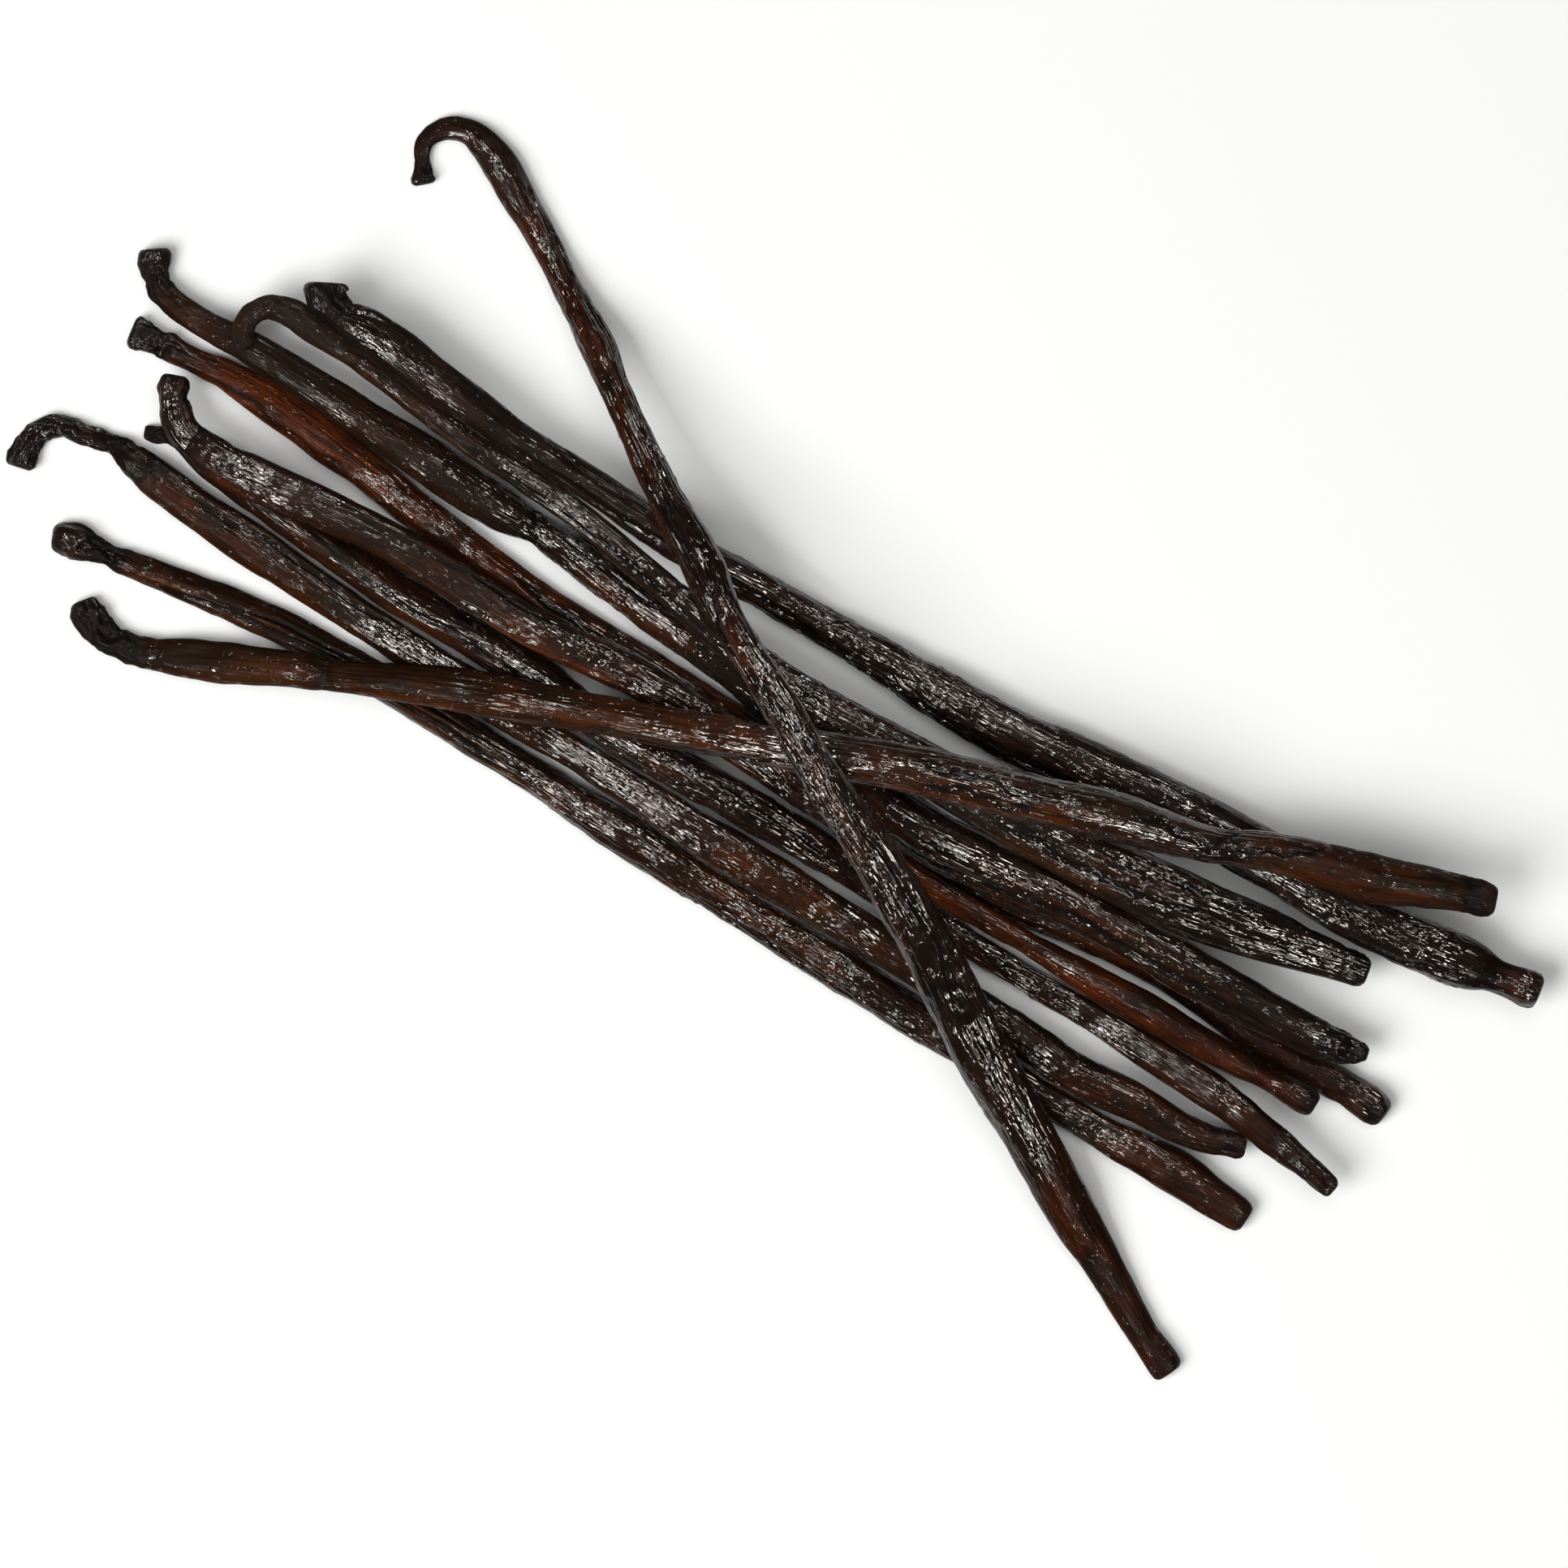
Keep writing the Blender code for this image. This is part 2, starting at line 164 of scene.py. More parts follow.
# The skin of each pod.
# ridges and beads: how deep they are, as (length along the pod, depth); gap: ridge spacing.
# twist: turns the wrinkles make along the pod. lobes: how far the section leaves an ellipse.
# grooves: (from, to, angle there, angle at the end, depth, width).
# lumps: (length, angle, how long, how wide in degrees, height); pinches: (length, depth, width).
# crust: share of black, lumpy, dried-up skin, as (length along the pod, share).
# amber: see-through red patches, and bloom: greyer dry skin, which on the upper sides also stands for a
# painted grey-mauve sheen, as (length, angle, long, wide).
SKINS = {
    "pod_lower_edge": dict(
        seed=11, gap=0.75, run=10.0, twist=0.25, lobes=0.10,
        ridges=[(0, 0.05), (12, 0.08), (60, 0.10), (95, 0.16), (130, 0.16), (160, 0.06)],
        beads=[(0, 0.10), (14, 0.03), (60, 0.04), (78, 0.12), (120, 0.12), (150, 0.05)],
        crust=[(0, 0.4), (3.2, 0.4), (4.2, 1), (8, 1), (10, 0.3), (12, 0)],
        grooves=[(14, 70, 120, 100, 0.30, 0.35), (20, 62, 85, 70, 0.26, 0.30)],
        lumps=[(1.5, 60, 1.6, 45, 0.5), (3.5, 150, 1.2, 40, 0.4)],
        pinches=[(7.5, 0.35, 1.2)],
        amber=[(160, 95, 12, 60), (35, 120, 30, 40), (100, 60, 10, 40)],
        bloom_and_sheen=[(6, 90, 5, 180), (170, 90, 3, 180)]),
    "pod_broad_stem": dict(
        seed=12, gap=0.70, run=9.0, twist=-0.2, lobes=0.10,
        ridges=[(0, 0.06), (12, 0.10), (24, 0.04), (48, 0.04), (70, 0.12), (120, 0.14), (170, 0.10)],
        beads=[(0, 0.05), (12, 0.12), (22, 0.05), (45, 0.04), (62, 0.13), (76, 0.06),
               (120, 0.08), (180, 0.06)],
        crust=[(0, 1), (4, 0.8), (10, 0.7), (18, 0.8), (23, 0), (172, 0), (178, 0.35)],
        grooves=[(26, 60, 60, 45, 0.20, 0.4)],
        lumps=[(0.8, 100, 0.9, 90, 0.25)],
        pinches=[(15, 0.25, 2.0), (20, 0.15, 0.8)],
        amber=[(36, 120, 16, 50), (120, 90, 12, 60), (168, 80, 8, 60)],
        bloom_and_sheen=[(3, 90, 6, 180), (16, 90, 8, 120), (176, 60, 8, 90)]),
    "pod_thin_tip": dict(
        seed=13, gap=0.80, run=9.0, twist=0.3, lobes=0.12,
        ridges=[(0, 0.03), (20, 0.06), (50, 0.10), (90, 0.18), (160, 0.12), (175, 0.06)],
        beads=[(0, 0.03), (18, 0.08), (50, 0.08), (60, 0.12), (100, 0.09), (175, 0.07)],
        crust=[(0, 0.8), (3, 0.6), (7, 0), (168, 0), (173, 0.45)],
        grooves=[(24, 60, 95, 120, 0.28, 0.4), (70, 110, 70, 90, 0.25, 0.4)],
        lumps=[], pinches=[(170, 0.15, 1.5)],
        amber=[(45, 150, 14, 50), (152, 100, 12, 70), (120, 150, 10, 50)],
        bloom_and_sheen=[(2, 90, 4, 180), (173, 90, 4, 180)]),
    "pod_red_brown": dict(
        seed=14, gap=0.90, run=8.0, twist=0.15, lobes=0.09,
        ridges=[(0, 0.04), (10, 0.06), (60, 0.07), (110, 0.12), (183, 0.08)],
        beads=[(0, 0.09), (10, 0.02), (26, 0.02), (38, 0.10), (44, 0.02), (56, 0.07),
               (64, 0.02), (110, 0.05), (183, 0.05)],
        crust=[(0, 1), (4, 1), (6, 0.3), (9, 0), (180, 0), (183, 0.5)],
        grooves=[(8, 34, 130, 120, 0.12, 0.4), (56, 76, 60, 110, 0.25, 0.5)],
        lumps=[(0.9, 20, 1.0, 40, 0.5), (1.2, 160, 1.0, 40, 0.45), (46, 60, 3.5, 50, 0.25),
               (57, 110, 4.0, 60, 0.2), (181, 90, 1.6, 180, 0.25)],
        pinches=[(4.6, 0.3, 1.0), (49, 0.15, 1.6), (177.5, 0.15, 1.2)],
        amber=[(22, 100, 14, 90), (40, 110, 20, 100), (64, 95, 26, 90), (88, 80, 14, 70)],
        bloom_and_sheen=[(3, 90, 5, 180), (46, 60, 6, 50), (180, 90, 8, 180)]),
    "pod_bent_stem": dict(
        seed=15, gap=0.75, run=9.0, twist=-0.3, lobes=0.10,
        ridges=[(0, 0.05), (10, 0.08), (30, 0.06), (60, 0.13), (95, 0.16), (115, 0.08),
                (169, 0.06)],
        beads=[(0, 0.03), (6, 0.11), (24, 0.13), (32, 0.03), (55, 0.04), (66, 0.12),
               (88, 0.13), (110, 0.04), (169, 0.03)],
        crust=[(0, 0.5), (3, 0.5), (5, 0.2), (20, 0.1), (26, 0), (165, 0), (169, 0.25)],
        grooves=[(32, 70, 60, 40, 0.16, 0.4)],
        lumps=[(166.5, 90, 2.0, 180, 0.3)],
        pinches=[(3.4, 0.25, 0.7), (9, 0.15, 1.0), (162, 0.15, 1.5)],
        amber=[(145, 95, 22, 100), (120, 95, 14, 80), (60, 150, 14, 40)],
        bloom_and_sheen=[(2, 90, 4, 180), (38, 60, 16, 60), (20, 60, 8, 60)]),
    "pod_pinched": dict(
        seed=16, gap=0.85, run=14.0, twist=0.2, lobes=0.11,
        ridges=[(0, 0.04), (20, 0.05), (45, 0.06), (66, 0.12), (110, 0.16), (135, 0.17),
                (165, 0.14), (182, 0.08)],
        beads=[(0, 0.06), (14, 0.03), (40, 0.08), (58, 0.10), (64, 0.14), (80, 0.14),
               (110, 0.09), (150, 0.08), (182, 0.09)],
        crust=[(0, 1), (4, 1), (7, 0.35), (12, 0), (58, 0), (60.5, 0.7), (63, 0), (174, 0), (180, 0.9)],
        grooves=[(62, 100, 70, 60, 0.25, 0.45), (120, 170, 130, 120, 0.24, 0.5)],
        lumps=[(1.0, 90, 1.0, 60, 0.3), (57, 150, 2.5, 50, 0.3), (64, 80, 3.5, 60, 0.2),
               (120, 95, 6, 60, 0.2)],
        pinches=[(60.5, 0.45, 1.1), (4.5, 0.12, 1.0)],
        amber=[(76, 110, 8, 60), (140, 130, 22, 60), (8, 100, 5, 60)],
        bloom_and_sheen=[(2, 90, 4, 180), (30, 70, 24, 60), (178, 90, 6, 180)]),
    "pod_curled_stem": dict(
        seed=17, gap=0.70, run=14.0, twist=-0.15, lobes=0.11,
        ridges=[(0, 0.02), (20, 0.05), (44, 0.07), (60, 0.12), (110, 0.12), (135, 0.18), (160, 0.15)],
        beads=[(0, 0.02), (12, 0.02), (18, 0.07), (40, 0.08), (60, 0.08), (120, 0.06),
               (150, 0.09), (166, 0.07)],
        crust=[(0, 0.3), (5, 0), (160, 0), (164, 0.6)],
        grooves=[(30, 75, 120, 110, 0.25, 0.4), (118, 160, 120, 100, 0.35, 0.5),
                 (125, 158, 60, 70, 0.22, 0.4)],
        lumps=[(116, 70, 5, 50, 0.2)], pinches=[],
        amber=[(30, 130, 14, 60), (124, 100, 12, 60), (98, 70, 8, 50)],
        bloom_and_sheen=[(8, 60, 14, 140), (50, 60, 30, 60), (112, 50, 16, 60), (164, 90, 3, 180)]),
    "pod_dark_fat": dict(
        seed=18, gap=0.80, run=8.0, twist=0.35, lobes=0.13,
        ridges=[(0, 0.06), (14, 0.05), (30, 0.06), (60, 0.13), (100, 0.13), (140, 0.12), (175, 0.05)],
        beads=[(0, 0.06), (8, 0.16), (24, 0.12), (44, 0.08), (90, 0.12), (125, 0.08),
               (138, 0.16), (165, 0.15), (175, 0.04)],
        crust=[(0, 1), (3, 1), (6, 0.4), (10, 0), (173, 0), (175, 0.3)],
        grooves=[(88, 140, 135, 150, 0.45, 0.7), (30, 75, 120, 110, 0.22, 0.4),
                 (150, 168, 150, 120, 0.3, 0.5)],
        lumps=[(0.9, 15, 1.1, 40, 0.4), (0.9, 165, 1.1, 40, 0.4), (0.5, 90, 0.7, 40, -0.5),
               (150, 60, 4, 50, 0.2), (173.3, 90, 1.5, 180, 0.4)],
        pinches=[(5, 0.2, 1.2), (168.5, 0.25, 1.6)],
        amber=[(172, 90, 5, 120), (104, 110, 8, 40), (64, 100, 8, 50)],
        bloom_and_sheen=[(3, 90, 5, 180), (40, 60, 34, 60), (110, 55, 34, 50), (135, 60, 12, 50)]),
    "pod_pale_brown": dict(
        seed=19, gap=0.80, run=16.0, twist=0.1, lobes=0.08,
        ridges=[(0, 0.03), (20, 0.04), (60, 0.08), (84, 0.15), (120, 0.16), (148, 0.14),
                (165, 0.06), (180, 0.03)],
        beads=[(0, 0.04), (8, 0.05), (16, 0.02), (60, 0.02), (100, 0.04), (112, 0.09),
               (124, 0.04), (146, 0.10), (160, 0.02), (180, 0.03)],
        crust=[(0, 1), (7, 1), (10, 0.5), (14, 0), (175.2, 0), (176, 0.35), (180, 0.35)],
        grooves=[(60, 100, 150, 130, 0.15, 0.4), (107, 123, 66, 84, 0.30, 0.4),
                 (108, 122, 112, 118, 0.30, 0.4), (134, 150, 60, 120, 0.30, 0.5),
                 (142, 148, 150, 40, 0.30, 0.4), (147, 158, 110, 60, 0.25, 0.4)],
        lumps=[(1.2, 60, 1.3, 50, 0.3), (30, 60, 1.6, 60, 0.3), (115, 95, 3.2, 26, 0.45),
               (143, 120, 4, 50, 0.25)],
        pinches=[(12, 0.12, 1.2), (33.5, 0.2, 0.9), (146, 0.25, 1.6), (177, 0.15, 0.8)],
        amber=[(62, 90, 8, 80), (84, 95, 12, 60), (122, 135, 12, 50), (162, 105, 15, 140),
               (104, 130, 8, 50), (40, 130, 12, 50)],
        bloom_and_sheen=[(2, 90, 5, 180), (100, 70, 20, 60), (140, 60, 14, 50), (179, 90, 3, 180)]),
    "pod_crosswise": dict(
        seed=20, gap=0.75, run=7.0, twist=0.45, lobes=0.11,
        ridges=[(0, 0.03), (16, 0.06), (26, 0.16), (52, 0.18), (72, 0.18), (112, 0.20),
                (140, 0.22), (154, 0.14), (168, 0.05), (188, 0.03)],
        beads=[(0, 0.02), (16, 0.08), (24, 0.12), (34, 0.14), (50, 0.13), (80, 0.08),
               (130, 0.09), (160, 0.06), (188, 0.05)],
        crust=[(0, 1), (2, 0.6), (5, 0), (185, 0), (188, 0.4)],
        grooves=[(50, 90, 110, 130, 0.25, 0.4), (69, 81, 40, 140, 0.35, 0.5),
                 (86, 100, 130, 60, 0.35, 0.6), (100, 140, 60, 80, 0.22, 0.4)],
        lumps=[(1.0, 20, 0.9, 60, 0.3), (42, 10, 3.5, 50, 0.25), (96, 60, 5, 50, 0.2)],
        pinches=[(3.5, 0.1, 0.8), (38, 0.12, 1.0)],
        amber=[(27, 110, 8, 60), (43, 90, 8, 80), (58, 150, 10, 60), (170, 90, 16, 90),
               (84, 150, 10, 50)],
        bloom_and_sheen=[(2, 90, 3, 180), (18, 90, 10, 90), (60, 20, 20, 40), (110, 30, 16, 40)]),
}

# Colours of each skin: in the shade of the wrinkles, where it shows through red, and dry bloom, which
# also paints a grey-mauve sheen.
COLOURS = {
    "pod_lower_edge": ("#201007", "#451e09", "#321f17"),
    "pod_broad_stem": ("#211107", "#431e09", "#322018"),
    "pod_thin_tip": ("#1e0f07", "#411b08", "#2e1d15"),
    "pod_red_brown": ("#261005", "#572407", "#371f16"),
    "pod_bent_stem": ("#211109", "#522208", "#342017"),
    "pod_pinched": ("#1c120a", "#3d1b09", "#2f2018"),
    "pod_curled_stem": ("#1b120b", "#3a1c0b", "#30221b"),
    "pod_dark_fat": ("#170f0a", "#381809", "#2f201b"),
    "pod_pale_brown": ("#231308", "#482109", "#341e12"),
    "pod_crosswise": ("#1b0e07", "#421b08", "#2e1c15"),
}


# ---------------------------------------------------------------- how a pod lies

class Pod:
    """The middle line and width of one pod, as smooth curves of its length."""

    def __init__(self, name):
        self.name = name
        self.places = np.array(PATHS[name])
        self.marks, self.slopes = knot_slopes(self.places)
        self.length = self.measure()

    def measure(self):
        t = np.linspace(0.0, self.marks[-1], 900)
        xy = along_curve(self.places, self.marks, self.slopes, t)[:, :2]
        run = np.hypot(*np.diff(xy, axis=0).T)
        self.fine_t = t
        self.fine_s = np.concatenate([[0.0], np.cumsum(run)])
        return self.fine_s[-1]

    def line(self, s):
        """Middle line, sideways direction and full half width at lengths s."""
        t = np.interp(s, self.fine_s, self.fine_t)
        here = along_curve(self.places, self.marks, self.slopes, t)
        ahead = along_curve(self.places, self.marks, self.slopes,
                            np.minimum(t + 0.05, self.marks[-1]))
        behind = along_curve(self.places, self.marks, self.slopes,
                             np.maximum(t - 0.05, 0.0))
        way = (ahead - behind)[:, :2]
        way /= np.linalg.norm(way, axis=1)[:, None]
        side = np.stack([-way[:, 1], way[:, 0]], axis=1)
        return here[:, :2], side, 0.5 * here[:, 2]

    def at(self, s):
        """As line(), with the width narrowed to the rounded ends."""
        middle, side, half = self.line(s)
        return middle, side, half * self.end_rounding(s)

    def end_rounding(self, s):
        stem = END_ROUND * self.places[0, 2]
        tip = END_ROUND * self.places[-1, 2]
        near = np.minimum(s / stem, (self.length - s) / tip)
        left = 1.0 - np.clip(near, 0.0, 1.0)
        return (1.0 - left ** END_BLUNT) ** (1.0 / END_BLUNT)

    def turning(self, s):
        """How fast the pod turns left, in radians a millimetre."""
        _, side, _ = self.line(s)
        angle = np.unwrap(np.arctan2(side[:, 1], side[:, 0]))
        return np.gradient(angle, s)


def knot_slopes(places):
    """Distance marks of the places and a smooth slope through each."""
    gaps = np.hypot(*np.diff(places[:, :2], axis=0).T)
    marks = np.concatenate([[0.0], np.cumsum(gaps)])
    rises = np.diff(places, axis=0) / gaps[:, None]
    slopes = np.empty_like(places)
    slopes[0] = rises[0]
    slopes[-1] = rises[-1]
    before = gaps[:-1, None]
    after = gaps[1:, None]
    slopes[1:-1] = (rises[:-1] * after + rises[1:] * before) / (before + after)
    return marks, slopes


def along_curve(places, marks, slopes, t):
    """Smooth curve through the places, at distances t."""
    i = np.clip(np.searchsorted(marks, t, side="right") - 1, 0, len(marks) - 2)
    gap = (marks[i + 1] - marks[i])[:, None]
    f = (t - marks[i])[:, None] / gap
    start = (2 * f ** 3 - 3 * f ** 2 + 1) * places[i]
    start = start + (f ** 3 - 2 * f ** 2 + f) * gap * slopes[i]
    end = (3 * f ** 2 - 2 * f ** 3) * places[i + 1]
    end = end + (f ** 3 - f ** 2) * gap * slopes[i + 1]
    return start + end


class Table:
    """Height map of the table top and of every pod already lying on it."""

    def __init__(self, reach):
        self.low = -reach
        count = int(2 * reach / CELL) + 1
        self.height = np.zeros((count, count))

    def cells(self, xy):
        index = np.rint((xy - self.low) / CELL).astype(int)
        return index[..., 0], index[..., 1]

    def add(self, xy, z):
        """Raises the map to a pod's upper side, with a margin of one cell."""
        i, j = self.cells(xy)
        for di in (-1, 0, 1):
            for dj in (-1, 0, 1):
                np.maximum.at(self.height, (i + di, j + dj), z)

    def under(self, xy):
        i, j = self.cells(xy)
        return self.height[i, j]


def lowest_lie(pod, table):
    """Height of the pod's middle line when it rests on what is below."""
    s = np.arange(0.0, pod.length, STEP)
    s[0] = 0.02
    middle, side, half = pod.at(s)
    thick = half * THICK_FOR_WIDTH
    need = thick - BELLY_FLAT
    for angle in np.linspace(math.pi, 2.0 * math.pi, 33):
        xy = middle + side * (half * math.cos(angle))[:, None]
        below = table.under(xy)
        touch = below + CLEARANCE - thick * math.sin(angle)
        need = np.maximum(need, np.where(below > 0.0, touch, need))
    apart = (s[:, None] - s[None, :]) ** 2
    sag = (need[None, :] - apart / (4.0 * STIFFNESS)).max(axis=1)
    rest = (sag[None, :] + apart / (2.0 * STIFFNESS)).min(axis=1)
    return s, rest


def eased(s, rest):
    """Rounds the places where a pod's line changes its slope."""
    reach = int(3.0 * EASE / STEP)
    apart = np.arange(-reach, reach + 1) * STEP
    weight = np.exp(-0.5 * (apart / EASE) ** 2)
    longer = np.pad(rest, reach, mode="reflect", reflect_type="odd")
    return s, np.convolve(longer, weight / weight.sum(), mode="valid")


def upper_side(pod, lie, s):
    """Points all over the upper side of a pod, for the height map."""
    angles = np.linspace(0.0, math.pi, 61)
    middle, side, half = pod.at(s)
    across = half[:, None] * np.cos(angles)[None, :]
    xy = middle[:, None, :] + side[:, None, :] * across[:, :, None]
    rise = (half * THICK_FOR_WIDTH)[:, None] * np.sin(angles)[None, :]
    z = np.interp(s, lie[0], lie[1])[:, None] + rise
    return xy, np.maximum(z, 0.0)


def lay_pods():
    """Lays every pod in turn and gives each with the height it rests at."""
    table = Table(115.0)
    laid = []
    for name in PATHS:
        pod = Pod(name)
        lie = eased(*lowest_lie(pod, table))
        s = np.linspace(0.02, pod.length - 0.02, 900)
        xy, z = upper_side(pod, lie, s)
        table.add(xy.reshape(-1, 2), z.reshape(-1))
        laid.append((pod, lie))
    return laid


# ---------------------------------------------------------------- wrinkled skin

def soft_step(low, high, value):
    f = np.clip((value - low) / (high - low), 0.0, 1.0)
    return f * f * (3.0 - 2.0 * f)


class Sheet:
    """The unrolled skin of one pod, on which its wrinkles and colours are drawn."""

    def __init__(self, pod, skin):
        self.length = pod.length
        self.s = np.linspace(0.0, pod.length, SHEET_ROWS)
        self.angle = np.arange(SHEET_COLUMNS) * 2.0 * math.pi / SHEET_COLUMNS
        _, _, self.half = pod.line(self.s)
        self.girth = 5.2 * self.half.mean()
        self.turn = skin["twist"] * self.s / pod.length
        self.bend = pod.turning(self.s)
        self.draw = np.random.default_rng(skin["seed"])

    def wavy(self, long, wide, banded=False):
        """Smooth random relief with features long by wide, mean 0 and spread 1."""
        white = self.draw.standard_normal((SHEET_ROWS, SHEET_COLUMNS))
        along = np.fft.fftfreq(SHEET_ROWS, self.length / SHEET_ROWS)[:, None]
        across = np.fft.rfftfreq(SHEET_COLUMNS, self.girth / SHEET_COLUMNS)[None, :]
        keep = np.exp(-2.0 * (along * long) ** 2)
        if banded:
            keep = keep * np.exp(-((across * wide - 1.0) / 0.45) ** 2)
        else:
            keep = keep * np.exp(-2.0 * (across * wide) ** 2)
        field = np.fft.irfft2(np.fft.rfft2(white) * keep, s=white.shape)
        return self.twisted((field - field.mean()) / field.std())

    def twisted(self, field):
        """Turns each row of a field round the pod as the wrinkles wind."""
        waves = np.fft.rfft(field, axis=1)
        k = np.arange(waves.shape[1])[None, :]
        waves = waves * np.exp(-2j * math.pi * k * self.turn[:, None])
        return np.fft.irfft(waves, n=SHEET_COLUMNS, axis=1)

    def profile(self, marks):
        """A value that changes along the pod, through (length, value) marks."""
        where, value = np.array(marks).T
        return np.interp(self.s, where, value)[:, None]

    def spot(self, s, angle, long, wide):
        """1 at a place on the skin, fading to 0 round it."""
        off = (self.angle - math.radians(angle) + math.pi) % (2.0 * math.pi) - math.pi
        round_it = (off / math.radians(wide)) ** 2
        along_it = ((self.s - s) / long) ** 2
        return np.exp(-round_it[None, :] - along_it[:, None])

    def groove(self, start, end, angle, end_angle, width):
        """1 along the bottom of a crease that wanders from one place to another."""
        f = np.clip((self.s - start) / (end - start), 0.0, 1.0)
        wander = 0.12 * np.sin(9.0 * f + start) + 0.07 * np.sin(23.0 * f + end)
        middle = np.radians(angle + (end_angle - angle) * f) + wander
        off = (self.angle[None, :] - middle[:, None] + math.pi) % (2.0 * math.pi) - math.pi
        fade = np.sin(math.pi * f) ** 0.5 * (f > 0.0) * (f < 1.0)
        return np.exp(-(off * self.half[:, None] / width) ** 2) * fade[:, None]

    def at(self, field, s, angles):
        """Values of a field on the rings at lengths s, at these angles."""
        row = np.clip(s / self.length, 0.0, 1.0) * (SHEET_ROWS - 1)
        low = np.minimum(row.astype(int), SHEET_ROWS - 2)
        f = (row - low)[:, None]
        rings = field[low] * (1.0 - f) + field[low + 1] * f
        column = angles / (2.0 * math.pi) * SHEET_COLUMNS
        left = np.floor(column).astype(int)
        g = (column - left)[None, :]
        return rings[:, left % SHEET_COLUMNS] * (1.0 - g) + rings[:, (left + 1) % SHEET_COLUMNS] * g


def ridge_relief(sheet, skin):
    """Lengthwise wrinkles: round rolls that fork and fade, with creases between, 0 to 1."""
    broad = np.tanh(1.4 * np.abs(sheet.wavy(skin["run"], 2.0 * skin["gap"], True)))
    narrow = np.tanh(1.4 * np.abs(sheet.wavy(0.5 * skin["run"], 1.3 * skin["gap"], True)))
    fade = 0.65 + 0.35 * soft_step(-1.0, 1.0, sheet.wavy(6.0, 1.6))
    broken = 0.88 + 0.12 * np.tanh(sheet.wavy(1.4, 1.3))
    return (0.65 * broad + 0.35 * narrow) * fade * broken


def bead_relief(sheet):
    """Small round swellings with creases between them, from 0 to 1."""
    beads = np.minimum(np.abs(sheet.wavy(1.7, 1.0)), 1.5) / 1.5
    warts = soft_step(0.9, 2.0, sheet.wavy(0.8, 0.7))
    return 0.6 * beads ** 0.7 + 0.7 * warts


def wrinkle(pod, skin):
    """Draws one pod's skin: how far it stands in or out, and its colour patches."""
    sheet = Sheet(pod, skin)
    half = sheet.half[:, None]
    patchy = soft_step(-0.7, 0.9, sheet.wavy(16.0, 3.0))
    ridged = sheet.profile(skin["ridges"]) * (0.55 + 0.65 * patchy)
    clusters = soft_step(-0.4, 1.0, sheet.wavy(7.0, 2.4))
    beaded = sheet.profile(skin["beads"]) * (0.30 + 0.90 * clusters)
    pressed = 0.78 + 0.60 * np.exp(-((sheet.s - 92.0) / 38.0) ** 2)[:, None]
    ridged = ridged * pressed
    beaded = beaded * pressed
    ridge = ridge_relief(sheet, skin)
    bead = bead_relief(sheet)
    round_it = sheet.angle[None, :] + 2.0 * math.pi * sheet.turn[:, None]
    lobes = 0.5 * np.cos(3.0 * round_it) + 0.5 * np.cos(2.0 * round_it + 1.0)
    height = skin["lobes"] * half * lobes
    height = height + 0.09 * sheet.wavy(9.0, 4.0) + 0.05 * sheet.wavy(3.2, 2.2)
    height = height + ridged * (ridge - ridge.mean()) * 1.8
    height = height + beaded * (bead - bead.mean())
    inner = np.clip(np.abs(sheet.bend)[:, None] * 6.0, 0.0, 1.0)
    height = height - 0.05 * inner * np.abs(sheet.wavy(0.9, 3.0))
    # painted shade: the skin is darkened in the creases between ridges and beads, in grooves and in
    # pinches
    crease_shade_and_dark_ends = ridged * np.clip(0.45 - ridge, 0.0, 1.0) * 3.0
    crease_shade_and_dark_ends = crease_shade_and_dark_ends + beaded * np.clip(0.5 - bead, 0.0, 1.0)
    for start, end, angle, end_angle, depth, width in skin["grooves"]:
        cut = depth * sheet.groove(start, end, angle, end_angle, width)
        height = height - cut
        crease_shade_and_dark_ends = crease_shade_and_dark_ends + cut
    for s, angle, long, wide, rise in skin["lumps"]:
        height = height + rise * sheet.spot(s, angle, long, wide)
    for s, depth, width in skin["pinches"]:
        ring = np.exp(-((sheet.s - s) / width) ** 2)[:, None]
        uneven = 0.7 + 0.3 * np.tanh(sheet.wavy(4.0, 2.0))
        height = height - depth * ring * uneven
        crease_shade_and_dark_ends = crease_shade_and_dark_ends + 0.5 * depth * ring * uneven
    # the skin is also darkened towards the blossom end, and a little at the stem
    darker_ends = 0.12 * (1.0 - soft_step(45.0, 75.0, sheet.s)) + 0.30 * soft_step(105.0, 150.0, sheet.s)
    crease_shade_and_dark_ends = np.clip(crease_shade_and_dark_ends / 0.16 + darker_ends[:, None], 0.0, 1.0)
    amber = sum(sheet.spot(*patch) for patch in skin["amber"])
    amber = np.clip(amber * (0.75 + 0.5 * sheet.wavy(5.0, 1.6)), 0.0, 1.0)
    # dry grey skin, and on the upper sides a painted grey-mauve sheen
    bloom_and_sheen = sum(sheet.spot(*patch) for patch in skin["bloom_and_sheen"])
    bloom_and_sheen = np.clip(bloom_and_sheen * (0.8 + 0.35 * sheet.wavy(4.0, 1.4)), 0.0, 1.0)
    wet = soft_step(0.02, 0.17, ridged * 0.8 + beaded + 0.3 * sum(
        rise * sheet.spot(s, angle, long, wide) for s, angle, long, wide, rise in skin["lumps"]))
    shrunk = sheet.profile(skin["crust"])
    lumpy = 0.20 * sheet.wavy(2.0, 1.7) + 0.09 * sheet.wavy(0.9, 0.8)
    height = height + shrunk * lumpy
    crust = soft_step(0.15, 0.75, shrunk + 0.22 * sheet.wavy(2.4, 1.5) * (shrunk > 0.0))
    return sheet, {"height": height, "crust": crust, "crease_shade_and_dark_ends": crease_shade_and_dark_ends,
                   "amber": amber, "bloom_and_sheen": bloom_and_sheen, "wet": wet}


